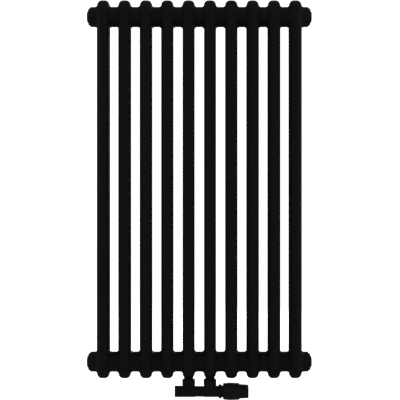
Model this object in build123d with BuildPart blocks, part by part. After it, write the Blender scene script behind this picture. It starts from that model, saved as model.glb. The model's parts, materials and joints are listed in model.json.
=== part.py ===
"""Ten-section column radiator with a thermostatic twin valve under its middle, in millimetres.

X runs across the radiator, +Y towards the wall and +Z up. The origin is on the axis of the top
header, halfway along it. Every piece is its own solid and is written to its own STEP file.
"""

from build123d import *
from math import cos, pi, sin
import os

# Radiator
SECTIONS = 10
PITCH = 50.0  # width of one section, and the distance between the valve's two connections
HEADER_SPAN = 809.0  # between the axes of the two headers
TUBE_RADIUS = 14.0
TUBE_WALL = 1.25
TUBE_OFFSET = 19.0  # tube axis in front of or behind the header axis
HUB_RADIUS = 23.5
HUB_BORE = 21.0
HUB_EDGE = 0.4
HUB_BLEND = 6.2  # radius of the hollow blend between hub, dome and legs
WEB_HALF = 11.0
WEB_CROWN = 0.3  # how far the web stands beyond the blend
ARCH_RADIUS = 33.4
ARCH_RISE = 5.45  # centre of the arch beyond the header axis
ARCH_CORNER = 10.7
MARGIN = 0.05  # by which a cutting outline is larger than what it must clear
HEAD_WALL = 1.6
LEG_LENGTH = 34.0  # header axis to the weld between head and tube
SOCKET_WALL = 2.5
BAFFLE_THICKNESS = 2.0
VALVE_SECTIONS = (5, 6)

# Fits
THREAD_GAP = 0.06  # radial, between a screwed pair's mating cylinders
RUNNING_GAP = 0.08  # radial, between a moving piece and its guide
END_GAP = 0.2  # along the axis, between pieces that don't touch

# Plugs, outwards from the header's end
PLUG_THREAD_LENGTH = 14.0
PLUG_SEAL = 1.2
PLUG_SEAL_INSET = 0.7
PLUG_FLANGE = 4.0
PLUG_FLANGE_EDGE = 0.8
PLUG_HEX = 4.8
PLUG_HEX_FLATS = 39.2
PLUG_HEX_FACE = 18.4  # radius at which the hexagon's chamfer meets its face
PLUG_BOSS = 3.2
PLUG_BOSS_RADIUS = 13.4
PLUG_BOSS_EDGE = 2.6
PLUG_WALL = 4.0
PLUG_FLOOR = -1.0  # inner end of the plug's solid part
BLEED_RADIUS = 4.8
BLEED_START = 1.1
BLEED_SHANK = 8.1
BLEED_SQUARE = 5.0
BLEED_HEAD = 3.6
VENT_SEAT = 1.0
VENT_RADIUS = 1.5
VENT_OUTLET = 1.2

# Unions between radiator and valve, downwards from the bottom header's axis
NIPPLE_THREAD = 10.45
NIPPLE_NECK = 10.8
NIPPLE_BORE = 7.5
NIPPLE_COLLAR = 12.9
NIPPLE_TOP = 24.0
NECK_TOP = 33.0
NUT_RADIUS = 15.0
NUT_TOP = 40.9
NUT_TOP_EDGE = 2.2
NUT_LIP = 3.1
NUT_BOTTOM = 56.0
NUT_BOTTOM_EDGE = 1.5
UNION_SEAL_TOP = 47.5
UNION_SEAL_THICKNESS = 1.5
SEAL_BORE = 8.3

# Valve body, along its own axis
VALVE_DROP = 70.0  # valve axis below the bottom header's axis
BODY_RADIUS = 13.3
WAIST_RADIUS = 12.5
WAIST_LEFT = -9.0
WAIST_RIGHT = 11.0
WAIST_SLOPE = 1.5
BODY_LEFT = -46.0
BODY_RIGHT = 45.0
SPIGOT_END = 49.0
CONNECTION_RADIUS = 13.2
WALL_NECK_RADIUS = 12.4
WALL_THREAD_START = 18.0  # behind the valve axis
WALL_THREAD_END = 30.0
PORT_RADIUS = 8.0
PORT_FLOOR = 12.0  # from the valve axis to the bottom of each port
PASSAGE_RADIUS = 4.5
INNER_PASSAGE = 18.5
OUTER_PASSAGE = 31.5
INNER_CHAMBER_START = 13.0
INNER_CHAMBER_RADIUS = 7.0
SEAT_START = 23.5
SEAT_FACE = 25.5
SEAT_RADIUS = 5.0
CHAMBER_RADIUS = 9.5
INSERT_START = 36.5

# Return side
CAP_START = 46.2
CAP_END = 57.8
CAP_WALL = 1.7
CAP_EDGE = 0.5
RETURN_COLLAR = 11.5
COLLAR_LENGTH = 4.5
SPINDLE_RADIUS = 4.0
SPINDLE_TIP_RADIUS = 2.9
SPINDLE_SOCKET = 5.0
SPINDLE_HEAD = 1.5
CONE_RADIUS = 6.3
CONE_BEVEL = 1.0
CONE_FLANGE = 3.0
CONE_LIFT = 3.5
CONE_TAIL = 4.6
SPINDLE_TIP = 30.8
RETURN_GROOVE = (40.0, 42.0)
GROOVE_DEPTH = 1.9

# Thermostatic side
PIN_RADIUS = 2.0
PIN_END = 53.2
DISC_RADIUS = 6.3
DISC_LIFT = 1.1
DISC_THICKNESS = 2.4
SUPPLY_GROOVE = (37.2, 39.2)
SPRING_CAVITY = 5.0
SPRING_FLOOR = 0.7  # wall between the groove and the spring's cavity
OPENING_RADIUS = 3.8
OPENING_WIRE = 0.35
OPENING_TURNS = 3
GLAND_NUT_WALL = 1.5
GLAND_NUT_LENGTH = 3.0
DISC_STEP = 0.7
DISC_CUP = 1.2
COLLAR_START = 43.6
COLLAR_THICKNESS = 0.8
COLLAR_STEP = 0.3
RING_GAP = 0.05
SPRING_GAP = 0.05  # between a spring's end and its seat
COUPLING_BORE = 14.05
COUPLING_FLATS = 31.4
COUPLING_PEAK = 16.9
COUPLING_CHAMFER = 2.0
COUPLING_BAND = 1.2  # half the length of the nut's full-size corners
COUPLING_START = 45.3
COUPLING_END = 52.05
COUPLING_FLANGE = (49.1, 50.6)
FLANGE_GAP = 0.15
FLANGE_BORE = 8.0
LIP_GAP = 0.05
NECK_RADIUS = 12.4
NECK_STEP = 14.0
HEAD_START = 55.4
HEAD_FLOOR = 2.6
BELL_INSET = 1.4  # how far the flange's bore reaches behind the bell's face
BELL_RADIUS = 19.0
BELL_EDGE = 0.6
BARREL_RADIUS = 20.5
BARREL_END_RADIUS = 19.5
BARREL_EDGE = 0.7
BARREL_DROP = 0.35  # of the barrel's slightly bowed side, at its middle
BARREL_STEP = 0.3  # by which the bell ends below the barrel
HEAD_SPLIT = 68.2
SPLIT_GAP = 0.4
SLEEVE_RADIUS = 17.0
SLEEVE_BORE = 15.4
SLEEVE_END = 84.0
BARREL_END = 93.7
GRIP_START_RADIUS = 16.85
GRIP_END_RADIUS = 15.65
GRIP_END = 115.2
GRIP_STEP = 0.8
GRIP_WALL = 3.0
GRIP_EDGE = 0.4
HANDLE_GAP = 0.5  # radial, between the handle and the sleeve
HANDLE_FLOOR = 1.0
GRIP_FLUTES = 24
FLUTE_RADIUS = 1.1
FLUTE_DEPTH = 0.6
PUSH_PIN_RADIUS = 3.0
PUSH_PIN_GAP = 0.1
PUSH_PIN_HEAD = 2.0
PUSH_PIN_HEAD_RADIUS = 5.0
SENSOR_NOSE = 63.1
SENSOR_NOSE_RADIUS = 6.0
SENSOR_START = 66.0
SENSOR_RADIUS = 14.0
SENSOR_BAND = (71.0, 73.0)  # the band that slides in the sleeve
SENSOR_END = 80.0
SENSOR_STUD = 2.0
SENSOR_STUD_RADIUS = 4.5
OVER_TRAVEL_RADIUS = 7.5
OVER_TRAVEL_WIRE = 0.8
OVER_TRAVEL_TURNS = 7

TOP_Z = 0.0
BOTTOM_Z = -HEADER_SPAN
VALVE_Z = BOTTOM_Z - VALVE_DROP
HALF_PITCH = PITCH / 2
HALF_WIDTH = SECTIONS * HALF_PITCH
APEX = ARCH_RISE + ARCH_RADIUS
ALONG_X = (1, 0, 0)
NEAR = 0.01

os.makedirs("parts", exist_ok=True)


# Planes and turned shapes


def front_plane(z, up):
    """Vertical plane through (0, 0, z) that faces the front, with its second axis up or down."""
    return Plane(origin=(0, 0, z), x_dir=ALONG_X, z_dir=(0, -up, 0))


def across(x, z, side=1):
    """Plane square to X that extrudes to the right, or to the left with a side of -1."""
    return Plane(origin=(x, 0, z), x_dir=(0, side, 0), z_dir=(side, 0, 0))


def level(x, z, up=1):
    """Horizontal plane that extrudes up, or down with an up of -1."""
    return Plane(origin=(x, 0, z), x_dir=ALONG_X, z_dir=(0, 0, up))


def to_wall(x, y, z):
    """Vertical plane that extrudes towards the wall."""
    return Plane(origin=(x, y, z), x_dir=ALONG_X, z_dir=(0, 1, 0))


def turn(outline, z=VALVE_Z, side=1, start=0.0, mode=Mode.ADD):
    """Turn an outline of (distance along X, radius) points about the line through z."""
    with BuildSketch(Plane.XZ) as profile:
        with BuildLine():
            Polyline([(start + side * distance, z + radius) for distance, radius in outline], close=True)
        make_face()
    revolve(profile.sketch, axis=Axis((0, 0, z), ALONG_X), mode=mode)


def turn_upright(x, outline):
    """Turn an outline of (radius, depth below the bottom header's axis) about a vertical line."""
    with BuildSketch(Plane.XZ) as profile:
        with BuildLine():
            Polyline([(x + radius, BOTTOM_Z - depth) for radius, depth in outline], close=True)
        make_face()
    revolve(profile.sketch, axis=Axis((x, 0, 0), (0, 0, 1)))


def tube_outline(start, end, outer, inner):
    """Outline of a plain turned tube."""
    return [(start, inner), (start, outer), (end, outer), (end, inner)]


def edges_at(piece, place, axis=Axis.X):
    """Edges whose centres lie at one place along an axis."""
    return piece.edges().filter_by_position(axis, place - NEAR, place + NEAR)


def outermost(edges):
    """The circular edges with the largest radius."""
    circles = edges.filter_by(GeomType.CIRCLE)
    largest = max(edge.radius for edge in circles)
    return circles.filter_by(lambda edge: edge.radius > largest - NEAR)


def write(piece, label):
    """Label a finished piece and write its STEP file."""
    piece.part.label = label
    export_step(piece.part, f"parts/{label}.step")


# Radiator sections


def head_form(up, inset, leg_end):
    """A section's dome and legs about the origin: the outside, or the water space with an inset."""
    half = TUBE_RADIUS - inset
    radius = ARCH_RADIUS - inset
    arch_z = up * ARCH_RISE
    with BuildPart() as form:
        # The dome over both tubes is a rounded disc, cut to the outline of the pair of tubes.
        with BuildSketch(front_plane(arch_z, up)) as disc:
            with Locations((0, radius / 2)):
                Rectangle(2 * (half + MARGIN), radius)
            fillet(disc.vertices().group_by(Axis.Y)[-1], ARCH_CORNER - inset)
        revolve(axis=Axis((0, 0, arch_z), ALONG_X), revolution_arc=360)
        with BuildSketch(level(0, arch_z, up)):
            SlotCenterToCenter(2 * TUBE_OFFSET, 2 * half, rotation=90)
        extrude(amount=radius + 1, mode=Mode.INTERSECT)
        # The two legs, which meet the tubes.
        with BuildSketch(level(0, -up * leg_end, up)):
            with Locations((0, TUBE_OFFSET), (0, -TUBE_OFFSET)):
                Circle(half)
        extrude(amount=leg_end + ARCH_RISE)
    return form


def hub_form():
    """The hub, this section's length of the header, with hollow blends that swell into dome and legs."""
    blend_x = TUBE_RADIUS + HUB_BLEND
    blend_height = HUB_RADIUS + HUB_BLEND
    web_height = blend_height + WEB_CROWN
    plan_depth = HUB_RADIUS + MARGIN
    with BuildPart() as hub:
        # Seen from the front: the blends above and below the hub.
        with BuildSketch(Plane.XZ):
            with BuildLine():
                right = CenterArc((blend_x, blend_height), HUB_BLEND, 180, 90)
                left = CenterArc((-blend_x, blend_height), HUB_BLEND, 270, 90)
                Polyline(
                    right @ 1,
                    (HALF_PITCH, HUB_RADIUS),
                    (HALF_PITCH, 0),
                    (-HALF_PITCH, 0),
                    (-HALF_PITCH, HUB_RADIUS),
                    left @ 0,
                )
                Polyline(left @ 1, (-WEB_HALF, web_height), (WEB_HALF, web_height), right @ 0)
            make_face()
        revolve(axis=Axis.X)
        # Seen from above: the blends in front of the hub and behind it.
        with BuildSketch(level(0, -ARCH_RADIUS)) as plan:
            Rectangle(PITCH + 2 * MARGIN, 2 * plan_depth)
            SlotCenterToCenter(2 * TUBE_OFFSET, 2 * TUBE_RADIUS, rotation=90)
            fillet(plan.vertices().filter_by(lambda corner: abs(corner.X) < TUBE_RADIUS), HUB_BLEND)
        extrude(amount=2 * ARCH_RADIUS, mode=Mode.INTERSECT)
    return hub


def head_shell(up, socket):
    """A hollow head about the origin. A socket in its dome takes a valve nipple."""
    outside = head_form(up, 0, LEG_LENGTH)
    water = head_form(up, HEAD_WALL, LEG_LENGTH + 1)
    hub = hub_form()
    with BuildPart() as shell:
        add(outside.part)
        add(hub.part)
        add(water.part, mode=Mode.SUBTRACT)
        with BuildSketch(across(-HALF_PITCH, 0)):
            Circle(HUB_BORE)
        extrude(amount=PITCH, mode=Mode.SUBTRACT)
        for end in (-HALF_PITCH, HALF_PITCH):
            chamfer(outermost(edges_at(shell, end)), HUB_EDGE)
        if socket:
            with BuildSketch(level(0, up * NIPPLE_TOP, up)):
                Circle(NIPPLE_THREAD + SOCKET_WALL)
            extrude(amount=NECK_TOP - NIPPLE_TOP - HEAD_WALL)
            with BuildSketch(level(0, up * (NIPPLE_TOP - HEAD_WALL), up)):
                Circle(NIPPLE_THREAD + THREAD_GAP)
            extrude(amount=APEX, mode=Mode.SUBTRACT)
            with BuildSketch(level(0, up * NECK_TOP, up)):
                Circle(NIPPLE_NECK + THREAD_GAP)
            extrude(amount=APEX, mode=Mode.SUBTRACT)
    return shell


def make_sections():
    """The welded sections: two heads and two tubes each."""
    top_shell = head_shell(1, socket=False)
    bottom_shell = head_shell(-1, socket=False)
    valve_shell = head_shell(-1, socket=True)
    for number in range(1, SECTIONS + 1):
        x = -HALF_WIDTH + (number - 0.5) * PITCH
        with BuildPart() as top_head:
            with Locations((x, 0, TOP_Z)):
                add(top_shell.part)
        write(top_head, f"top_head_{number:02d}")
        with BuildPart() as bottom_head:
            with Locations((x, 0, BOTTOM_Z)):
                add(valve_shell.part if number in VALVE_SECTIONS else bottom_shell.part)
        write(bottom_head, f"bottom_head_{number:02d}")
        with BuildPart() as tubes:
            with BuildSketch(level(x, BOTTOM_Z + LEG_LENGTH)):
                with Locations((0, TUBE_OFFSET), (0, -TUBE_OFFSET)):
                    Circle(TUBE_RADIUS)
                    Circle(TUBE_RADIUS - TUBE_WALL, mode=Mode.SUBTRACT)
            extrude(amount=HEADER_SPAN - 2 * LEG_LENGTH)
        write(tubes, f"section_tubes_{number:02d}")


def make_baffle():
    """Disc in the bottom header between the valve's two sections, which sends the flow upwards."""
    with BuildPart() as flow_baffle:
        with BuildSketch(across(-BAFFLE_THICKNESS / 2, BOTTOM_Z)):
            Circle(HUB_BORE - THREAD_GAP)
        extrude(amount=BAFFLE_THICKNESS)
    write(flow_baffle, "flow_baffle")


# Plugs


def make_plug(label, side, z, vent=False):
    """A screwed plug with a round flange, a chamfered hexagon and a round boss."""
    start = side * HALF_WIDTH
    flange_end = PLUG_SEAL + PLUG_FLANGE
    hex_end = flange_end + PLUG_HEX
    face = hex_end + PLUG_BOSS
    thread = HUB_BORE - THREAD_GAP
    bore = BLEED_RADIUS + RUNNING_GAP
    with BuildPart() as hexagon:
        with BuildSketch(across(start + side * flange_end, z, side)):
            RegularPolygon(PLUG_HEX_FLATS / 2, 6, major_radius=False)
        extrude(amount=PLUG_HEX)
        turn([
            (flange_end, 0),
            (flange_end, PLUG_HEX_FACE + PLUG_HEX),
            (hex_end, PLUG_HEX_FACE),
            (hex_end, 0),
        ], z, side, start, Mode.INTERSECT)
    with BuildPart() as plug:
        outline = [(-PLUG_THREAD_LENGTH, 0), (-PLUG_THREAD_LENGTH, thread), (PLUG_SEAL, thread)]
        outline += [(PLUG_SEAL, HUB_RADIUS), (flange_end, HUB_RADIUS), (flange_end, 0)]
        turn(outline, z, side, start)
        fillet(outermost(edges_at(plug, start + side * flange_end)), PLUG_FLANGE_EDGE)
        add(hexagon.part)
        with BuildSketch(across(start + side * hex_end, z, side)):
            Circle(PLUG_BOSS_RADIUS)
        extrude(amount=PLUG_BOSS)
        fillet(edges_at(plug, start + side * face), PLUG_BOSS_EDGE)
        # The thread is hollow, like a turned cup.
        cup = tube_outline(-PLUG_THREAD_LENGTH, PLUG_FLOOR, thread - PLUG_WALL, 0)
        turn(cup, z, side, start, Mode.SUBTRACT)
        if vent:
            turn(tube_outline(VENT_SEAT, face, bore, 0), z, side, start, Mode.SUBTRACT)
            turn(tube_outline(PLUG_FLOOR, VENT_SEAT, VENT_RADIUS, 0), z, side, start, Mode.SUBTRACT)
            # The vent's outlet, a small hole in the underside of the hexagon.
            outlet_x = start + side * (flange_end + PLUG_HEX / 3)
            with BuildSketch(level(outlet_x, z - BLEED_RADIUS / 2, up=-1)):
                Circle(VENT_OUTLET)
            extrude(amount=PLUG_HEX_FLATS / 2, mode=Mode.SUBTRACT)
    write(plug, label)


def make_bleed_screw(side, z):
    """The screw in the vent plug, with a square head for a radiator key."""
    start = side * HALF_WIDTH
    shank_end = BLEED_START + BLEED_SHANK
    with BuildPart() as bleed_screw:
        turn(tube_outline(BLEED_START, shank_end, BLEED_RADIUS, 0), z, side, start)
        with BuildSketch(across(start + side * shank_end, z, side)):
            Rectangle(BLEED_SQUARE, BLEED_SQUARE)
        extrude(amount=BLEED_HEAD)
    write(bleed_screw, "bleed_screw")


def make_plug_seals():
    """The four flat gaskets between the plugs and the ends of the headers."""
    with BuildPart() as plug_seals:
        for side in (-1, 1):
            for z in (TOP_Z, BOTTOM_Z):
                gasket = tube_outline(0, PLUG_SEAL, HUB_RADIUS - PLUG_SEAL_INSET, HUB_BORE)
                turn(gasket, z, side, side * HALF_WIDTH)
    write(plug_seals, "plug_seals")


# Unions


def make_union(label, x):
    """A nipple, its round union nut and its gasket."""
    collar_top = NUT_TOP + NUT_LIP + NEAR
    seal_end = UNION_SEAL_TOP + UNION_SEAL_THICKNESS
    with BuildPart() as nipple:
        turn_upright(x, [
            (NIPPLE_BORE, NIPPLE_TOP),
            (NIPPLE_THREAD, NIPPLE_TOP),
            (NIPPLE_THREAD, NECK_TOP),
            (NIPPLE_NECK, NECK_TOP),
            (NIPPLE_NECK, collar_top),
            (NIPPLE_COLLAR, collar_top),
            (NIPPLE_COLLAR, UNION_SEAL_TOP),
            (NIPPLE_BORE, UNION_SEAL_TOP),
        ])
    write(nipple, f"{label}_nipple")
    with BuildPart() as nut:
        lip_bore = NIPPLE_NECK + THREAD_GAP
        thread_bore = CONNECTION_RADIUS + THREAD_GAP
        turn_upright(x, [
            (lip_bore, NUT_TOP),
            (NUT_RADIUS, NUT_TOP),
            (NUT_RADIUS, NUT_BOTTOM),
            (thread_bore, NUT_BOTTOM),
            (thread_bore, NUT_TOP + NUT_LIP),
            (lip_bore, NUT_TOP + NUT_LIP),
        ])
        fillet(outermost(edges_at(nut, BOTTOM_Z - NUT_TOP, Axis.Z)), NUT_TOP_EDGE)
        fillet(outermost(edges_at(nut, BOTTOM_Z - NUT_BOTTOM, Axis.Z)), NUT_BOTTOM_EDGE)
    write(nut, f"{label}_union_nut")
    with BuildPart() as seal:
        turn_upright(x, [
            (SEAL_BORE, UNION_SEAL_TOP),
            (NIPPLE_COLLAR, UNION_SEAL_TOP),
            (NIPPLE_COLLAR, seal_end),
            (SEAL_BORE, seal_end),
        ])
    write(seal, f"{label}_union_seal")


# Valve body and its return side


def make_valve_body():
    """One casting with two separate water ways, each with a seat between two chambers."""
    union_height = VALVE_DROP - UNION_SEAL_TOP - UNION_SEAL_THICKNESS
    with BuildPart() as valve_body:
        turn([
            (BODY_LEFT, 0),
            (BODY_LEFT, BODY_RADIUS),
            (WAIST_LEFT - WAIST_SLOPE, BODY_RADIUS),
            (WAIST_LEFT, WAIST_RADIUS),
            (WAIST_RIGHT, WAIST_RADIUS),
            (WAIST_RIGHT + WAIST_SLOPE, BODY_RADIUS),
            (BODY_RIGHT, BODY_RADIUS),
            (BODY_RIGHT, COUPLING_BORE - THREAD_GAP),
            (SPIGOT_END, COUPLING_BORE - THREAD_GAP),
            (SPIGOT_END, 0),
        ])
        for side in (-1, 1):
            x = side * HALF_PITCH
            with BuildSketch(level(x, VALVE_Z)):
                Circle(CONNECTION_RADIUS)
            extrude(amount=union_height)
            with BuildSketch(to_wall(x, 0, VALVE_Z)):
                Circle(WALL_NECK_RADIUS)
            extrude(amount=WALL_THREAD_START)
            with BuildSketch(to_wall(x, WALL_THREAD_START, VALVE_Z)):
                Circle(CONNECTION_RADIUS)
            extrude(amount=WALL_THREAD_END - WALL_THREAD_START)
        for side in (-1, 1):
            x = side * HALF_PITCH
            with BuildSketch(level(x, VALVE_Z + PORT_FLOOR)):
                Circle(PORT_RADIUS)
            extrude(amount=union_height, mode=Mode.SUBTRACT)
            with BuildSketch(to_wall(x, PORT_FLOOR, VALVE_Z)):
                Circle(PORT_RADIUS)
            extrude(amount=WALL_THREAD_END, mode=Mode.SUBTRACT)
            # The water way: outer chamber, seat and inner chamber in line, a passage to each port.
            way = [(INNER_CHAMBER_START, 0), (INNER_CHAMBER_START, INNER_CHAMBER_RADIUS)]
            way += [(SEAT_START, INNER_CHAMBER_RADIUS), (SEAT_START, SEAT_RADIUS), (SEAT_FACE, SEAT_RADIUS)]
            way += [(SEAT_FACE, CHAMBER_RADIUS), (SPIGOT_END + 1, CHAMBER_RADIUS), (SPIGOT_END + 1, 0)]
            turn(way, side=side, mode=Mode.SUBTRACT)
            with BuildSketch(level(side * INNER_PASSAGE, VALVE_Z)):
                Circle(PASSAGE_RADIUS)
            extrude(amount=PORT_FLOOR + 1, mode=Mode.SUBTRACT)
            with BuildSketch(to_wall(side * OUTER_PASSAGE, 0, VALVE_Z)):
                Circle(PASSAGE_RADIUS)
            extrude(amount=PORT_FLOOR + 1, mode=Mode.SUBTRACT)
    write(valve_body, "valve_body")


def make_return_side():
    """The shut-off on the return: insert, turning spindle, sliding cone and screwed cap."""
    body_end = -BODY_LEFT
    collar_end = body_end + COLLAR_LENGTH
    spindle_end = collar_end + SPINDLE_HEAD
    bore = SPINDLE_RADIUS + RUNNING_GAP
    with BuildPart() as insert:
        turn([
            (INSERT_START, bore),
            (INSERT_START, CHAMBER_RADIUS - THREAD_GAP),
            (body_end, CHAMBER_RADIUS - THREAD_GAP),
            (body_end, RETURN_COLLAR),
            (collar_end, RETURN_COLLAR),
            (collar_end, bore),
            (RETURN_GROOVE[1], bore),
            (RETURN_GROOVE[1], bore + GROOVE_DEPTH),
            (RETURN_GROOVE[0], bore + GROOVE_DEPTH),
            (RETURN_GROOVE[0], bore),
        ], side=-1)
    write(insert, "return_insert")
    with BuildPart() as spindle:
        turn([
            (SPINDLE_TIP, 0),
            (SPINDLE_TIP, SPINDLE_TIP_RADIUS),
            (INSERT_START, SPINDLE_TIP_RADIUS),
            (INSERT_START, SPINDLE_RADIUS),
            (spindle_end, SPINDLE_RADIUS),
            (spindle_end, 0),
        ], side=-1)
        with BuildSketch(across(-spindle_end, VALVE_Z)):
            RegularPolygon(SPINDLE_SOCKET / 2, 6, major_radius=False)
        extrude(amount=SPINDLE_SOCKET, mode=Mode.SUBTRACT)
    write(spindle, "return_spindle")
    with BuildPart() as cone:
        face = SEAT_FACE + CONE_LIFT
        tail_bore = SPINDLE_TIP_RADIUS + RUNNING_GAP
        tail_end = INSERT_START - END_GAP
        turn([
            (face, 0),
            (face, CONE_RADIUS - CONE_BEVEL),
            (face + CONE_BEVEL, CONE_RADIUS),
            (face + CONE_FLANGE, CONE_RADIUS),
            (face + CONE_FLANGE, CONE_TAIL),
            (tail_end, CONE_TAIL),
            (tail_end, tail_bore),
            (SPINDLE_TIP - END_GAP, tail_bore),
            (SPINDLE_TIP - END_GAP, 0),
        ], side=-1)
    write(cone, "return_cone")
    with BuildPart() as cap:
        inner = RETURN_COLLAR + RUNNING_GAP
        turn([
            (CAP_START, inner),
            (CAP_START, BODY_RADIUS),
            (CAP_END, BODY_RADIUS),
            (CAP_END, 0),
            (CAP_END - CAP_WALL, 0),
            (CAP_END - CAP_WALL, inner),
        ], side=-1)
        fillet(outermost(edges_at(cap, -CAP_END)), CAP_EDGE)
    write(cap, "return_cap")


# Thermostatic side


def coil(start, end, radius, wire, turns):
    """A helical spring about the valve axis, between two seats."""
    first = start + SPRING_GAP + wire
    height = end - SPRING_GAP - wire - first
    with BuildPart() as spring:
        with BuildLine():
            path = Helix(height / turns, height, radius, center=(first, 0, VALVE_Z), direction=ALONG_X)
        with BuildSketch(Plane(origin=path @ 0, z_dir=path % 0)):
            Circle(wire)
        sweep()
    return spring


def make_thermostatic_insert():
    """Gland, opening spring, pin and rubber disc of the supply valve."""
    bore = PIN_RADIUS + RUNNING_GAP
    insert_end = SPIGOT_END - END_GAP
    cavity_end = insert_end - GLAND_NUT_LENGTH
    nut_seat = SPRING_CAVITY + GLAND_NUT_WALL
    floor = SUPPLY_GROOVE[1] + SPRING_FLOOR
    with BuildPart() as insert:
        turn([
            (INSERT_START, bore),
            (INSERT_START, CHAMBER_RADIUS - THREAD_GAP),
            (insert_end, CHAMBER_RADIUS - THREAD_GAP),
            (insert_end, nut_seat),
            (cavity_end, nut_seat),
            (cavity_end, SPRING_CAVITY),
            (floor, SPRING_CAVITY),
            (floor, bore),
            (SUPPLY_GROOVE[1], bore),
            (SUPPLY_GROOVE[1], bore + GROOVE_DEPTH),
            (SUPPLY_GROOVE[0], bore + GROOVE_DEPTH),
            (SUPPLY_GROOVE[0], bore),
        ])
    write(insert, "thermostatic_insert")
    with BuildPart() as gland_nut:
        turn(tube_outline(cavity_end, insert_end, nut_seat - THREAD_GAP, bore))
    write(gland_nut, "gland_nut")
    disc_face = SEAT_FACE + DISC_LIFT
    disc_back = disc_face + DISC_THICKNESS
    cup_end = disc_back + DISC_CUP
    cup = DISC_RADIUS - DISC_STEP
    collar_end = COLLAR_START + COLLAR_THICKNESS
    collar = SPRING_CAVITY - COLLAR_STEP
    with BuildPart() as pin:
        turn([
            (disc_face, 0),
            (disc_face, PIN_RADIUS),
            (disc_back, PIN_RADIUS),
            (disc_back, cup),
            (cup_end, cup),
            (cup_end, PIN_RADIUS),
            (COLLAR_START, PIN_RADIUS),
            (COLLAR_START, collar),
            (collar_end, collar),
            (collar_end, PIN_RADIUS),
            (PIN_END, PIN_RADIUS),
            (PIN_END, 0),
        ])
    write(pin, "valve_pin")
    with BuildPart() as disc:
        turn(tube_outline(disc_face, disc_back, DISC_RADIUS, PIN_RADIUS))
    write(disc, "valve_disc")
    spring = coil(floor, COLLAR_START, OPENING_RADIUS, OPENING_WIRE, OPENING_TURNS)
    write(spring, "opening_spring")


def ring(start, end, hole):
    """An O-ring that fills a groove between two stations, round a shaft in a hole."""
    wire = (end - start) / 2 - RING_GAP
    middle = (start + end) / 2
    with BuildSketch(Plane.XZ) as section:
        with Locations((middle, VALVE_Z + hole + wire)):
            Circle(wire)
    revolve(section.sketch, axis=Axis((0, 0, VALVE_Z), ALONG_X))


def make_gland_seals():
    """The O-rings round the return spindle and round the valve pin."""
    with BuildPart() as gland_seals:
        ring(-RETURN_GROOVE[1], -RETURN_GROOVE[0], SPINDLE_RADIUS + NEAR)
        ring(SUPPLY_GROOVE[0], SUPPLY_GROOVE[1], PIN_RADIUS + NEAR)
    write(gland_seals, "gland_seals")


def make_coupling_nut():
    """Hexagonal nut with chamfered corners, which clamps the head's flange to the valve's spigot."""
    lip_start = COUPLING_FLANGE[1] + LIP_GAP
    with BuildPart() as nut:
        with BuildSketch(across(COUPLING_START, VALVE_Z)):
            RegularPolygon(COUPLING_FLATS / 2, 6, major_radius=False, rotation=30)
        extrude(amount=COUPLING_END - COUPLING_START)
        middle = (COUPLING_START + COUPLING_END) / 2
        turn([
            (COUPLING_START, 0),
            (COUPLING_START, COUPLING_PEAK - COUPLING_CHAMFER),
            (middle - COUPLING_BAND, COUPLING_PEAK),
            (middle + COUPLING_BAND, COUPLING_PEAK),
            (COUPLING_END, COUPLING_PEAK - COUPLING_CHAMFER),
            (COUPLING_END, 0),
        ], mode=Mode.INTERSECT)
        turn(tube_outline(COUPLING_START, lip_start, COUPLING_BORE, 0), mode=Mode.SUBTRACT)
        turn(tube_outline(lip_start, COUPLING_END, NECK_RADIUS + RUNNING_GAP, 0), mode=Mode.SUBTRACT)
    write(nut, "coupling_nut")


def make_head_base():
    """The fixed part of the head: coupling flange, bell and the sleeve that guides the sensor."""
    chamber = HEAD_START + HEAD_FLOOR
    neck_end = COUPLING_END + LIP_GAP
    bore_end = HEAD_START - BELL_INSET
    flange = COUPLING_BORE - FLANGE_GAP
    pin_bore = PUSH_PIN_RADIUS + RUNNING_GAP
    with BuildPart() as base:
        turn([
            (COUPLING_FLANGE[0], FLANGE_BORE),
            (COUPLING_FLANGE[0], flange),
            (COUPLING_FLANGE[1], flange),
            (COUPLING_FLANGE[1], NECK_RADIUS),
            (neck_end, NECK_RADIUS),
            (neck_end, NECK_STEP),
            (HEAD_START, NECK_STEP),
            (HEAD_START + BELL_EDGE, BELL_RADIUS - BELL_EDGE),
            (HEAD_START + 2 * BELL_EDGE, BELL_RADIUS),
            (HEAD_SPLIT, BARREL_RADIUS - BARREL_STEP),
            (HEAD_SPLIT, SLEEVE_RADIUS),
            (SLEEVE_END, SLEEVE_RADIUS),
            (SLEEVE_END, SLEEVE_BORE),
            (chamber, SLEEVE_BORE),
            (chamber, pin_bore),
            (bore_end, pin_bore),
            (bore_end, FLANGE_BORE),
        ])
    write(base, "head_base")


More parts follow.
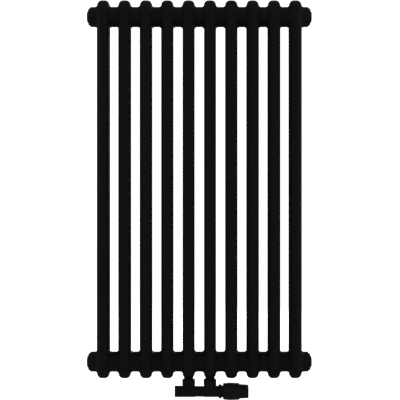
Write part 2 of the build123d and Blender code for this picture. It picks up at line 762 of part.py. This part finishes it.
def make_head_handle():
    """The turning handle: a barrel round the sleeve, and a narrower fluted grip with a closed end."""
    start = HEAD_SPLIT + SPLIT_GAP
    middle = (start + BARREL_END) / 2
    floor = BARREL_END - HANDLE_FLOOR
    grip_start = BARREL_END + GRIP_STEP
    grip_bore = GRIP_END_RADIUS - GRIP_WALL
    barrel_bore = SLEEVE_RADIUS + HANDLE_GAP
    slope = (GRIP_START_RADIUS - GRIP_END_RADIUS) / (GRIP_END - grip_start)
    with BuildPart() as handle:
        with BuildSketch(Plane.XZ):
            with BuildLine():
                barrel = ThreePointArc(
                    (start, VALVE_Z + BARREL_RADIUS),
                    (middle, VALVE_Z + BARREL_RADIUS - BARREL_DROP),
                    (BARREL_END, VALVE_Z + BARREL_END_RADIUS),
                )
                Polyline(
                    barrel @ 1,
                    (grip_start, VALVE_Z + GRIP_START_RADIUS),
                    (GRIP_END, VALVE_Z + GRIP_END_RADIUS),
                    (GRIP_END, VALVE_Z),
                    (GRIP_END - GRIP_WALL, VALVE_Z),
                    (GRIP_END - GRIP_WALL, VALVE_Z + grip_bore),
                    (floor, VALVE_Z + grip_bore),
                    (floor, VALVE_Z + barrel_bore),
                    (start, VALVE_Z + barrel_bore),
                    barrel @ 0,
                )
            make_face()
        revolve(axis=Axis((0, 0, VALVE_Z), ALONG_X))
        fillet(outermost(edges_at(handle, BARREL_END)), BARREL_EDGE)
        fillet(outermost(edges_at(handle, GRIP_END)), GRIP_EDGE)
        for number in range(GRIP_FLUTES):
            angle = 2 * pi * (number + 0.5) / GRIP_FLUTES
            y = cos(angle)
            z = sin(angle)
            centre = GRIP_START_RADIUS - FLUTE_DEPTH + FLUTE_RADIUS
            direction = (1, -slope * y, -slope * z)
            origin = (grip_start + GRIP_STEP, centre * y, VALVE_Z + centre * z)
            with BuildSketch(Plane(origin=origin, z_dir=direction)):
                Circle(FLUTE_RADIUS)
            extrude(amount=GRIP_END, mode=Mode.SUBTRACT)
    write(handle, "head_handle")


def make_sensor():
    """The sensor capsule, the pin it pushes and the spring that takes up its over-travel."""
    nose = PIN_END + PUSH_PIN_GAP
    head_start = SENSOR_NOSE - PUSH_PIN_HEAD
    with BuildPart() as push_pin:
        turn([
            (nose, 0),
            (nose, PUSH_PIN_RADIUS),
            (head_start, PUSH_PIN_RADIUS),
            (head_start, PUSH_PIN_HEAD_RADIUS),
            (SENSOR_NOSE, PUSH_PIN_HEAD_RADIUS),
            (SENSOR_NOSE, 0),
        ])
    write(push_pin, "push_pin")
    with BuildPart() as capsule:
        turn([
            (SENSOR_NOSE, 0),
            (SENSOR_NOSE, SENSOR_NOSE_RADIUS),
            (SENSOR_START, SENSOR_NOSE_RADIUS),
            (SENSOR_START, SENSOR_RADIUS),
            (SENSOR_BAND[0], SENSOR_RADIUS),
            (SENSOR_BAND[0], SLEEVE_BORE - RUNNING_GAP),
            (SENSOR_BAND[1], SLEEVE_BORE - RUNNING_GAP),
            (SENSOR_BAND[1], SENSOR_RADIUS),
            (SENSOR_END, SENSOR_RADIUS),
            (SENSOR_END, SENSOR_STUD_RADIUS),
            (SENSOR_END + SENSOR_STUD, SENSOR_STUD_RADIUS),
            (SENSOR_END + SENSOR_STUD, 0),
        ])
    write(capsule, "sensor_capsule")
    spring_end = GRIP_END - GRIP_WALL
    spring = coil(SENSOR_END, spring_end, OVER_TRAVEL_RADIUS, OVER_TRAVEL_WIRE, OVER_TRAVEL_TURNS)
    write(spring, "over_travel_spring")


make_sections()
make_baffle()
make_plug("blind_plug_top_left", -1, TOP_Z)
make_plug("blind_plug_bottom_left", -1, BOTTOM_Z)
make_plug("blind_plug_bottom_right", 1, BOTTOM_Z)
make_plug("vent_plug", 1, TOP_Z, vent=True)
make_bleed_screw(1, TOP_Z)
make_plug_seals()
make_union("return", -HALF_PITCH)
make_union("supply", HALF_PITCH)
make_valve_body()
make_return_side()
make_thermostatic_insert()
make_gland_seals()
make_coupling_nut()
make_head_base()
make_head_handle()
make_sensor()
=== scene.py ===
"""Looks of the ten-section column radiator and its thermostatic twin valve, in metres."""

import json
import math

import bmesh
import bpy
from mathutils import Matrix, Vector
from mathutils.bvhtree import BVHTree


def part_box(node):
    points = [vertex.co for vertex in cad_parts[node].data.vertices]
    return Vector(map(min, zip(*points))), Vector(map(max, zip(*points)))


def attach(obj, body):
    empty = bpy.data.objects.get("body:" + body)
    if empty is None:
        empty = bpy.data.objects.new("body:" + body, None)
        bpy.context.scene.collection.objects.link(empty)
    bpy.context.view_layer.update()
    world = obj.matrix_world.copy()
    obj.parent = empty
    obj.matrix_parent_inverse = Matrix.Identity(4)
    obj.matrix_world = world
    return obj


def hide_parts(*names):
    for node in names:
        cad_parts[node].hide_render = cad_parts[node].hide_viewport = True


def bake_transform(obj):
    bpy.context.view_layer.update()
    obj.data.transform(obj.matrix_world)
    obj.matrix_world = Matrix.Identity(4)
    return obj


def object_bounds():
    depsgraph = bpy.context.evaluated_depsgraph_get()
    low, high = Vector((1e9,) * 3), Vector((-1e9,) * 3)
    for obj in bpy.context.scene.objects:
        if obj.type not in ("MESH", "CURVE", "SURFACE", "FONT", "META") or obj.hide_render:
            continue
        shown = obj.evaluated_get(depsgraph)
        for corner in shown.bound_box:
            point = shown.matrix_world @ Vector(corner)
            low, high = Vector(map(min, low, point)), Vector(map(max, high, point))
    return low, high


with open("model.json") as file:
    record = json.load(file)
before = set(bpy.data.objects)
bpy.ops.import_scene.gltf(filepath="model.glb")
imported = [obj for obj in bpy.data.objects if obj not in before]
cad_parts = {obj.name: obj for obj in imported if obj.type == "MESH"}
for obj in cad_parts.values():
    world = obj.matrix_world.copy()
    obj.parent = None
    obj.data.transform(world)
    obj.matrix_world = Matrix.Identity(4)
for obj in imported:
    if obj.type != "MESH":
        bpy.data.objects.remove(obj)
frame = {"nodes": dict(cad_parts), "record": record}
CAD_LOW, CAD_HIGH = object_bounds()
NODES = frame["nodes"]
RECORD = frame["record"]
MM = 0.001

# Camera, in metres
CAMERA_DISTANCE = 2.547  # to the axes of the front tubes
CAMERA_ASIDE = 0.0016
CAMERA_BELOW = 0.0251  # under the middle of the radiator
FRAME_WIDTH = 0.9326  # what the picture spans at the front tubes
SENSOR_WIDTH = 36

# Light
ROOM_LIGHT = 0.23
TOP_BOX_Z = 2.2
SOFTBOXES = (  # name, x, y, height over the object's middle (None: at TOP_BOX_Z), size, watts
    ("front_softbox", -0.5, -3.4, 0.5, (2.0, 2.4), 4),
    ("top_softbox", 0.4, -0.4, None, (1.8, 1.2), 2.5),
    ("back_softbox", 0.9, 3.2, 0.9, (1.6, 2.4), 26),
    ("left_softbox", -3.4, -0.3, 0.6, (1.2, 2.4), 9),
    ("right_softbox", 3.4, -0.3, 0.6, (1.2, 2.4), 14),
)
STAGE_GLOW = 1.05
FLOOR_DROP = 0.15
FLOOR_RADIUS = 24
DOME_RADIUS = 25

# Welds
TUBE_WELD = (0.7 * MM, 0.22 * MM)  # half width, height
HUB_WELD = (0.8 * MM, 0.28 * MM)
WELD_SINK = 0.15 * MM
WELD_SWELL = 0.18  # of a ripple, as a share of the height
TUBE_RIPPLES = 31
HUB_RIPPLES = 53

# Springs: node, the body that moves one end, and whether that is the end at high x
LIVE_SPRINGS = (("opening_spring", "valve_pin", True), ("over_travel_spring", "sensor", False))

# Dial
DIAL_MARKS = "*12345"
DIAL_FACING = math.radians(-12)  # of the index, up from the front
DIAL_STEP = math.radians(50)
DIAL_TICKS = 5  # to a step
MARK_SIZE = 6.2 * MM
MARK_PLACE = 8.5 * MM  # from the handle's open end
MARK_HEIGHT = 0.24 * MM
TICK_HEIGHT = 0.18 * MM
TICK_ROOT = 0.05 * MM
TICK_WIDTH = 0.5 * MM
TICK_PLACE = 1.6 * MM
TICK_LENGTHS = (1.5 * MM, 2.6 * MM)
INDEX_WIDTH = 1.1 * MM
INDEX_LENGTH = 5 * MM
INDEX_PLACE = -7 * MM

# Pipe threads
THREAD_PITCH = 1.814 * MM
THREAD_TURNS = 5
THREAD_CREST = 0.32 * MM
THREAD_ROOT = 0.1 * MM
THREAD_PROFILE = ((-0.42, 0), (-0.08, 1), (0.08, 1), (0.42, 0))  # pitches along, crest or root
THREAD_INSET = 0.9 * MM
THREAD_STEPS = 60
THREAD_FADE = 20  # steps over which the thread runs out

SHARP_ANGLE = math.radians(28)

# Where most of a noise texture's values lie
NOISE_LOW = 0.3
NOISE_HIGH = 0.7


def middle_of(node, axis):
    """Middle of a CAD node's box along an axis."""
    low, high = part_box(node)
    return (low[axis] + high[axis]) / 2


def half_of(node, axis):
    """Half the size of a CAD node's box along an axis."""
    low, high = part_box(node)
    return (high[axis] - low[axis]) / 2


SECTIONS = sum(name.startswith("section_tubes_") for name in NODES)
TUBE_RADIUS = half_of("section_tubes_01", 0)
HUB_RADIUS = half_of("blind_plug_top_left", 2)
TOP_Z = middle_of("blind_plug_top_left", 2)
BOTTOM_Z = middle_of("blind_plug_bottom_left", 2)
VALVE_Z = middle_of("return_cap", 2)
HANDLE_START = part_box("head_handle")[0].x
HANDLE_RADIUS = half_of("head_handle", 2)


# Camera


def make_camera():
    """The camera stands square in front of the radiator, a little below its middle."""
    tube_axis_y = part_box("section_tubes_01")[0].y + TUBE_RADIUS
    middle_z = (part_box("bottom_head_01")[0].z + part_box("top_head_01")[1].z) / 2
    data = bpy.data.cameras.new("camera")
    data.sensor_width = SENSOR_WIDTH
    data.lens = SENSOR_WIDTH * CAMERA_DISTANCE / FRAME_WIDTH
    camera = bpy.data.objects.new("camera", data)
    camera.location = (CAMERA_ASIDE, tube_axis_y - CAMERA_DISTANCE, middle_z - CAMERA_BELOW)
    camera.rotation_euler = (math.pi / 2, 0, 0)
    bpy.context.scene.collection.objects.link(camera)
    bpy.context.scene.camera = camera


# Light and stage


def area_light(name, place, target, size, power):
    """A soft rectangular light at one place, aimed at another."""
    data = bpy.data.lights.new(name, "AREA")
    data.shape = "RECTANGLE"
    data.size, data.size_y = size
    data.energy = power
    light = bpy.data.objects.new(name, data)
    light.location = place
    light.rotation_euler = (Vector(target) - Vector(place)).to_track_quat("-Z", "Y").to_euler()
    light.visible_camera = False
    bpy.context.scene.collection.objects.link(light)


def make_lights():
    """An even white room does most of the lighting, with weak softboxes all round the object."""
    middle = (CAD_LOW + CAD_HIGH) / 2
    for name, x, y, rise, size, power in SOFTBOXES:
        z = TOP_BOX_Z if rise is None else middle.z + rise
        area_light(name, (x, y, z), middle, size, power)
    world = bpy.data.worlds.new("room")
    bpy.context.scene.world = world
    world.use_nodes = True
    background = world.node_tree.nodes["Background"]
    background.inputs["Color"].default_value = (1, 1, 1, 1)
    background.inputs["Strength"].default_value = ROOM_LIGHT


def only_seen(thing):
    """The camera sees it, but it neither lights the object nor shows in its gloss."""
    thing.visible_diffuse = False
    thing.visible_glossy = False
    thing.visible_transmission = False
    thing.visible_shadow = False


def pale_material(name, shade):
    """A plain pale surface with a slight mottle, bright enough to read as a lit studio."""
    material, tree, shader = new_material(name)
    mottle = noise(tree, place_of(tree), 3.0, 2.0)
    colour = ramp(tree, mottle, [(NOISE_LOW, [shade * 0.99] * 3), (NOISE_HIGH, [shade] * 3)])
    tree.links.new(colour, shader.inputs["Base Color"])
    shader.inputs["Roughness"].default_value = 0.9
    tree.links.new(colour, shader.inputs["Emission Color"])
    shader.inputs["Emission Strength"].default_value = STAGE_GLOW
    return material


def stage_piece(name, shape):
    """Turn a bmesh into a pale piece of the stage, which only the camera sees."""
    mesh = bpy.data.meshes.new(name)
    shape.to_mesh(mesh)
    shape.free()
    mesh.materials.append(pale_material(f"pale_{name}", 1.0))
    piece = bpy.data.objects.new(name, mesh)
    bpy.context.scene.collection.objects.link(piece)
    only_seen(piece)
    return piece


def make_stage():
    """A pale floor under the hanging radiator, inside a large pale dome."""
    shape = bmesh.new()
    bmesh.ops.create_circle(shape, cap_ends=True, segments=96, radius=FLOOR_RADIUS)
    stage_piece("floor", shape).location.z = CAD_LOW.z - FLOOR_DROP
    shape = bmesh.new()
    bmesh.ops.create_uvsphere(shape, u_segments=64, v_segments=32, radius=DOME_RADIUS)
    bmesh.ops.reverse_faces(shape, faces=shape.faces)
    stage_piece("dome", shape)


# Shader building blocks


def new_material(name):
    """An empty node material with its shader in place."""
    material = bpy.data.materials.new(name)
    material.use_nodes = True
    tree = material.node_tree
    return material, tree, tree.nodes["Principled BSDF"]


def place_of(tree):
    """Position on the object, in metres."""
    return tree.nodes.new("ShaderNodeTexCoord").outputs["Object"]


def noise(tree, where, scale, detail=3.0, stretch=None, roughness=0.5):
    """Noise with so many cells to the metre, drawn out along an axis if a stretch is given."""
    if stretch:
        mapping = tree.nodes.new("ShaderNodeMapping")
        mapping.inputs["Scale"].default_value = stretch
        tree.links.new(where, mapping.inputs["Vector"])
        where = mapping.outputs["Vector"]
    texture = tree.nodes.new("ShaderNodeTexNoise")
    texture.inputs["Scale"].default_value = scale
    texture.inputs["Detail"].default_value = detail
    texture.inputs["Roughness"].default_value = roughness
    tree.links.new(where, texture.inputs["Vector"])
    return texture.outputs["Fac"]


def ramp(tree, value, stops):
    """Colours along a value, given as (position, colour) stops."""
    ramp_node = tree.nodes.new("ShaderNodeValToRGB")
    elements = ramp_node.color_ramp.elements
    while len(elements) < len(stops):
        elements.new(0.5)
    for element, (position, colour) in zip(elements, stops):
        element.position = position
        element.color = (*colour, 1)
    tree.links.new(value, ramp_node.inputs["Fac"])
    return ramp_node.outputs["Color"]


def spread(tree, value, low, high):
    """A noise value spread over a range of numbers."""
    node = tree.nodes.new("ShaderNodeMapRange")
    node.inputs["From Min"].default_value = NOISE_LOW
    node.inputs["From Max"].default_value = NOISE_HIGH
    node.inputs["To Min"].default_value = low
    node.inputs["To Max"].default_value = high
    tree.links.new(value, node.inputs["Value"])
    return node.outputs["Result"]


def edge_mask(tree, radius):
    """One on sharp outer edges and zero on flat ground, from the angle that a bevel would turn."""
    bevel = tree.nodes.new("ShaderNodeBevel")
    bevel.samples = 4
    bevel.inputs["Radius"].default_value = radius
    geometry = tree.nodes.new("ShaderNodeNewGeometry")
    dot = tree.nodes.new("ShaderNodeVectorMath")
    dot.operation = "DOT_PRODUCT"
    tree.links.new(bevel.outputs["Normal"], dot.inputs[0])
    tree.links.new(geometry.outputs["Normal"], dot.inputs[1])
    mask = tree.nodes.new("ShaderNodeMapRange")
    mask.inputs["From Min"].default_value = 0.995
    mask.inputs["From Max"].default_value = 0.85
    tree.links.new(dot.outputs["Value"], mask.inputs["Value"])
    return mask.outputs["Result"]


def crevice_mask(tree, reach):
    """One on open ground and zero deep in a gap, from ambient occlusion: it marks where shade is
    painted.
    """
    occlusion = tree.nodes.new("ShaderNodeAmbientOcclusion")
    occlusion.samples = 8
    occlusion.inputs["Distance"].default_value = reach
    return occlusion.outputs["AO"]


def mixed(tree, factor, first, second):
    """Colour mixed from two others by a factor."""
    mix = tree.nodes.new("ShaderNodeMix")
    mix.data_type = "RGBA"
    tree.links.new(factor, mix.inputs["Factor"])
    for socket, colour in (("A", first), ("B", second)):
        target = [entry for entry in mix.inputs if entry.name == socket and entry.type == "RGBA"][0]
        if isinstance(colour, (list, tuple)):
            target.default_value = (*colour, 1)
        else:
            tree.links.new(colour, target)
    return [entry for entry in mix.outputs if entry.type == "RGBA"][0]


def bump(tree, shader, layers):
    """Surface relief from (height, strength, depth in metres) layers, one on top of another."""
    below = None
    for height, strength, depth in layers:
        node = tree.nodes.new("ShaderNodeBump")
        node.inputs["Strength"].default_value = strength
        node.inputs["Distance"].default_value = depth
        tree.links.new(height, node.inputs["Height"])
        if below:
            tree.links.new(below, node.inputs["Normal"])
        below = node.outputs["Normal"]
    tree.links.new(below, shader.inputs["Normal"])


# Materials


def powder_coat(name, shade, gloss, grain=2600.0):
    """Matte black powder coat: fine orange peel, a slow drift of tone, and sharp edges painted
    lighter, partly as wear of a thinner coat and partly as a painted highlight.
    """
    material, tree, shader = new_material(name)
    where = place_of(tree)
    drift = noise(tree, where, 7.0, 4.0)
    peel = noise(tree, where, grain / 3, 2.0)
    fine = noise(tree, where, grain, 3.0, roughness=0.7)
    light = [shade * 1.12, shade * 1.12, shade * 1.14]
    ground = ramp(tree, drift, [(NOISE_LOW, [shade * 0.86] * 3), (NOISE_HIGH, light)])
    speck = ramp(tree, fine, [(0.62, [0, 0, 0]), (0.72, [1, 1, 1])])
    speckled = mixed(tree, speck, ground, [shade * 1.7] * 3)
    # Lighter sharp edges: partly wear of the thin coat, partly a painted highlight.
    worn_and_highlit = mixed(tree, edge_mask(tree, 0.5 * MM), speckled, [shade * 2.2] * 3)
    tree.links.new(worn_and_highlit, shader.inputs["Base Color"])
    tree.links.new(spread(tree, drift, gloss - 0.05, gloss + 0.07), shader.inputs["Roughness"])
    shader.inputs["Specular IOR Level"].default_value = 0.14
    bump(tree, shader, [(peel, 0.25, 0.12 * MM), (fine, 0.35, 0.05 * MM)])
    return material


def moulded_plastic(name, shade, gloss):
    """Black moulding with a fine spark-eroded texture and edges painted lighter, partly as polish
    from handling and partly as a painted highlight.
    """
    material, tree, shader = new_material(name)
    where = place_of(tree)
    drift = noise(tree, where, 22.0, 3.0)
    texture = noise(tree, where, 4200.0, 2.0, roughness=0.8)
    ground = ramp(tree, drift, [(NOISE_LOW, [shade * 0.9] * 3), (NOISE_HIGH, [shade * 1.1] * 3)])
    # Lighter edges: partly polish from handling, partly a painted highlight.
    rubbed_and_highlit = mixed(tree, edge_mask(tree, 0.4 * MM), ground, [shade * 2.0] * 3)
    tree.links.new(rubbed_and_highlit, shader.inputs["Base Color"])
    tree.links.new(spread(tree, drift, gloss - 0.04, gloss + 0.06), shader.inputs["Roughness"])
    shader.inputs["Specular IOR Level"].default_value = 0.2
    bump(tree, shader, [(texture, 0.4, 0.04 * MM)])
    return material


def turned_metal(name, colour, gloss, lines=1800.0):
    """Machined metal with turning marks round the valve's axis, and painted shade darkening it in
    its gaps.
    """
    material, tree, shader = new_material(name)
    where = place_of(tree)
    marks = noise(tree, where, lines, 2.0, stretch=(1, 0.02, 0.02))
    tarnish = noise(tree, where, 160.0, 4.0)
    dark = [channel * 0.75 for channel in colour]
    # Painted shade: the colour goes nearly black deep in gaps, where shade falls.
    painted_gap_shade = [channel * 0.02 for channel in colour]
    clean = ramp(tree, tarnish, [(NOISE_LOW, dark), (NOISE_HIGH, colour)])
    shaded_in_gaps = mixed(tree, crevice_mask(tree, 3 * MM), painted_gap_shade, clean)
    tree.links.new(shaded_in_gaps, shader.inputs["Base Color"])
    shader.inputs["Metallic"].default_value = 1.0
    tree.links.new(spread(tree, marks, gloss - 0.06, gloss + 0.1), shader.inputs["Roughness"])
    bump(tree, shader, [(marks, 0.3, 0.03 * MM)])
    return material


def rubber(name, shade):
    """Dull black rubber with a dusty mottle."""
    material, tree, shader = new_material(name)
    where = place_of(tree)
    dust = noise(tree, where, 300.0, 5.0)
    dusty = ramp(tree, dust, [(0.35, [shade] * 3), (0.75, [shade * 1.9] * 3)])
    tree.links.new(dusty, shader.inputs["Base Color"])
    tree.links.new(spread(tree, dust, 0.7, 0.9), shader.inputs["Roughness"])
    shader.inputs["Specular IOR Level"].default_value = 0.3
    bump(tree, shader, [(noise(tree, where, 2500.0, 3.0), 0.3, 0.03 * MM)])
    return material


def printed_mark(name, shade):
    """Dull grey ink in the dial's marks, slightly uneven."""
    material, tree, shader = new_material(name)
    ink = noise(tree, place_of(tree), 1500.0, 3.0)
    uneven = ramp(tree, ink, [(NOISE_LOW, [shade * 0.8] * 3), (NOISE_HIGH, [shade * 1.15] * 3)])
    tree.links.new(uneven, shader.inputs["Base Color"])
    tree.links.new(spread(tree, ink, 0.55, 0.7), shader.inputs["Roughness"])
    shader.inputs["Specular IOR Level"].default_value = 0.3
    return material


def dress_nodes(materials):
    """Give every CAD node the material of its slot in the record."""
    for part in RECORD["subparts"]:
        node = NODES[part["node"]]
        finish = materials[part["material_slot"]]
        if not node.material_slots:
            node.data.materials.append(finish)
        for slot in node.material_slots:
            slot.material = finish


# Shared mesh tools


def piece_from(shape, name, body, material, smooth=True):
    """Turn a bmesh into a piece that rides on a body and stays inside the object's box."""
    for vertex in shape.verts:
        vertex.co = [min(max(vertex.co[i], CAD_LOW[i]), CAD_HIGH[i]) for i in range(3)]
    mesh = bpy.data.meshes.new(name)
    bmesh.ops.recalc_face_normals(shape, faces=shape.faces)
    shape.to_mesh(mesh)
    shape.free()
    if smooth:
        for face in mesh.polygons:
            face.use_smooth = True
    piece = bpy.data.objects.new(name, mesh)
    bpy.context.scene.collection.objects.link(piece)
    mesh.materials.append(material)
    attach(piece, body)
    return piece


def make_live_springs(material):
    """Stand a copy of each spring's coil in for it, in the given material, and hide the spring
    itself.
    """
    for spring, body, high_end_moves in LIVE_SPRINGS:
        coil = bpy.data.objects.new(spring + "_coil", NODES[spring].data.copy())
        bpy.context.scene.collection.objects.link(coil)
        coil.data.materials.clear()
        coil.data.materials.append(material)
        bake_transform(coil)
        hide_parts(spring)


def bridge(shape, first, second):
    """Faces between two closed rows of as many vertices."""
    for index in range(len(first)):
        beyond = (index + 1) % len(first)
        shape.faces.new((first[index], first[beyond], second[beyond], second[index]))


def add_ring(shape, centre, axis, radius, weld, ripples, segments=64, around=8):
    """Add a closed, slightly rippled weld bead round a centre."""
    half_width, height = weld
    axis = Vector(axis).normalized()
    side = axis.orthogonal().normalized()
    other = axis.cross(side)
    rows = []
    for step in range(segments):
        angle = 2 * math.pi * step / segments
        outward = side * math.cos(angle) + other * math.sin(angle)
        swell = 1 + WELD_SWELL * math.cos(ripples * angle)
        row = []
        for part in range(around):
            turn = 2 * math.pi * part / around
            reach = radius - WELD_SINK + height * swell * math.cos(turn)
            along = axis * half_width * math.sin(turn)
            row.append(shape.verts.new(Vector(centre) + outward * reach + along))
        rows.append(row)
    for step, row in enumerate(rows):
        bridge(shape, row, rows[(step + 1) % segments])


# Weld seams


def make_tube_welds(material):
    """A fine laser-weld ring where each tube meets its head."""
    shape = bmesh.new()
    for number in range(1, SECTIONS + 1):
        node = f"section_tubes_{number:02d}"
        low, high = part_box(node)
        for y in (low.y + TUBE_RADIUS, high.y - TUBE_RADIUS):
            for z in (low.z, high.z):
                centre = (middle_of(node, 0), y, z)
                add_ring(shape, centre, (0, 0, 1), TUBE_RADIUS, TUBE_WELD, TUBE_RIPPLES)
    piece_from(shape, "tube_welds", "radiator", material)


def make_hub_welds(material):
    """A ground weld in the groove between neighbouring hubs."""
    shape = bmesh.new()
    for number in range(1, SECTIONS):
        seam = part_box(f"top_head_{number:02d}")[1].x
        for z in (TOP_Z, BOTTOM_Z):
            centre = (seam, 0, z)
            add_ring(shape, centre, (1, 0, 0), HUB_RADIUS, HUB_WELD, HUB_RIPPLES, segments=96)
    piece_from(shape, "hub_welds", "radiator", material)


# Dial and threads


def surface_tree(node):
    """A search tree over a CAD node's surface."""
    mesh = NODES[node].data
    return BVHTree.FromPolygons([v.co for v in mesh.vertices], [p.vertices for p in mesh.polygons])


def on_surface(tree, x, angle, lift):
    """The point over a turned surface at this station and angle, measured up from the front."""
    outward = Vector((0, -math.cos(angle), math.sin(angle)))
    start = Vector((x, 0, VALVE_Z)) + outward * 2 * HANDLE_RADIUS
    hit = tree.ray_cast(start, -outward)[0]
    return hit + outward * lift


def text_mesh(body, size, thickness):
    """A flat character, a little thick, centred on its own middle."""
    curve = bpy.data.curves.new("character", "FONT")
    curve.body = body
    curve.size = size
    curve.extrude = thickness / 2
    curve.align_x = "CENTER"
    curve.align_y = "CENTER"
    curve.resolution_u = 4
    holder = bpy.data.objects.new("character", curve)
    bpy.context.scene.collection.objects.link(holder)
    graph = bpy.context.evaluated_depsgraph_get()
    mesh = bpy.data.meshes.new_from_object(holder.evaluated_get(graph))
    bpy.data.objects.remove(holder)
    return mesh


def add_character(shape, tree, body, x, angle):
    """Wrap a raised character round a turned surface, its top towards the free end."""
    mesh = text_mesh(body, MARK_SIZE, MARK_HEIGHT)
    first = len(shape.verts)
    shape.from_mesh(mesh)
    shape.verts.ensure_lookup_table()
    for vertex in shape.verts[first:]:
        across, along, height = vertex.co
        turned = angle - across / HANDLE_RADIUS
        vertex.co = on_surface(tree, x + along, turned, height + MARK_HEIGHT / 4)


def add_tick(shape, tree, x, angle, length, width):
    """A raised bar along the axis on a turned surface."""
    half = width / 2 / HANDLE_RADIUS
    corners = []
    for height in (-TICK_ROOT, TICK_HEIGHT):
        for along, turned in ((0, -half), (length, -half), (length, half), (0, half)):
            corners.append(shape.verts.new(on_surface(tree, x + along, angle + turned, height)))
    low, high = corners[:4], corners[4:]
    shape.faces.new(high)
    shape.faces.new(low[::-1])
    bridge(shape, low, high)


def make_dial(material):
    """The scale on the handle, from frost guard to five, and the index on the fixed base."""
    handle = surface_tree("head_handle")
    shape = bmesh.new()
    middle = len(DIAL_MARKS) // 2
    for place, body in enumerate(DIAL_MARKS):
        angle = DIAL_FACING + (place - middle) * DIAL_STEP
        add_character(shape, handle, body, HANDLE_START + MARK_PLACE, angle)
    last = middle * DIAL_TICKS
    for place in range(-last, last + 1):
        length = TICK_LENGTHS[place % DIAL_TICKS == 0]
        angle = DIAL_FACING + place * DIAL_STEP / DIAL_TICKS
        add_tick(shape, handle, HANDLE_START + TICK_PLACE, angle, length, TICK_WIDTH)
    piece_from(shape, "dial_marks", "handle", material, smooth=False)
    shape = bmesh.new()
    base = surface_tree("head_base")
    add_tick(shape, base, HANDLE_START + INDEX_PLACE, DIAL_FACING, INDEX_LENGTH, INDEX_WIDTH)
    piece_from(shape, "dial_index", "radiator", material, smooth=False)


def add_thread(shape, centre, radius):
    """A raised helical thread round an axis along Y that ends at a centre."""
    steps = THREAD_TURNS * THREAD_STEPS
    rows = []
    for step in range(steps + 1):
        angle = 2 * math.pi * step / THREAD_STEPS
        behind = THREAD_INSET + THREAD_PITCH * step / THREAD_STEPS
        fade = min(1, step / THREAD_FADE, (steps - step) / THREAD_FADE)
        outward = Vector((math.cos(angle), 0, math.sin(angle)))
        row = []
        for along, crest in THREAD_PROFILE:
            height = THREAD_CREST * fade if crest else -THREAD_ROOT
            offset = Vector((0, along * THREAD_PITCH - behind, 0))
            row.append(shape.verts.new(centre + outward * (radius + height) + offset))
        rows.append(row)
    for row, following in zip(rows, rows[1:]):
        bridge(shape, row, following)
    shape.faces.new(rows[0])
    shape.faces.new(rows[-1][::-1])


def make_pipe_threads(material):
    """The pipe threads on the two connections that face the wall."""
    shape = bmesh.new()
    end_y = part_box("valve_body")[1].y
    for mount in RECORD["mounts"]:
        if mount["kind"] == "pin":
            centre = Vector((mount["pos_m"][0], end_y, VALVE_Z))
            add_thread(shape, centre, mount["dims"]["r_mm"] * MM)
    piece_from(shape, "pipe_threads", "radiator", material, smooth=False)


def smooth_shading():
    """Smooth the CAD nodes' shading, but keep their real edges sharp."""
    for node in NODES.values():
        for face in node.data.polygons:
            face.use_smooth = True
        node.data.set_sharp_from_angle(angle=SHARP_ANGLE)


MATERIALS = {
    "radiator_black": powder_coat("radiator_black", 0.0115, 0.62),
    "plug_black": powder_coat("plug_black", 0.011, 0.58),
    "valve_black": powder_coat("valve_black", 0.011, 0.54, grain=3200.0),
    "nipple_black": powder_coat("nipple_black", 0.011, 0.56, grain=3200.0),
    "head_plastic": moulded_plastic("head_plastic", 0.0105, 0.5),
    "inner_plastic": moulded_plastic("inner_plastic", 0.55, 0.45),
    "brass": turned_metal("brass", [0.72, 0.55, 0.27], 0.32),
    "bleed_brass": turned_metal("bleed_brass", [0.06, 0.052, 0.045], 0.45),
    "seal_rubber": rubber("seal_rubber", 0.012),
    "steel": turned_metal("steel", [0.6, 0.6, 0.62], 0.28),
    "baffle_steel": turned_metal("baffle_steel", [0.42, 0.42, 0.43], 0.45),
    "capsule_copper": turned_metal("capsule_copper", [0.78, 0.47, 0.33], 0.35),
}

bpy.context.scene.view_settings.view_transform = "Standard"
smooth_shading()
dress_nodes(MATERIALS)
make_camera()
make_lights()
make_stage()
make_tube_welds(MATERIALS["radiator_black"])
make_hub_welds(MATERIALS["radiator_black"])
make_live_springs(MATERIALS["steel"])
make_dial(printed_mark("dial_ink", 0.02))
make_pipe_threads(MATERIALS["valve_black"])
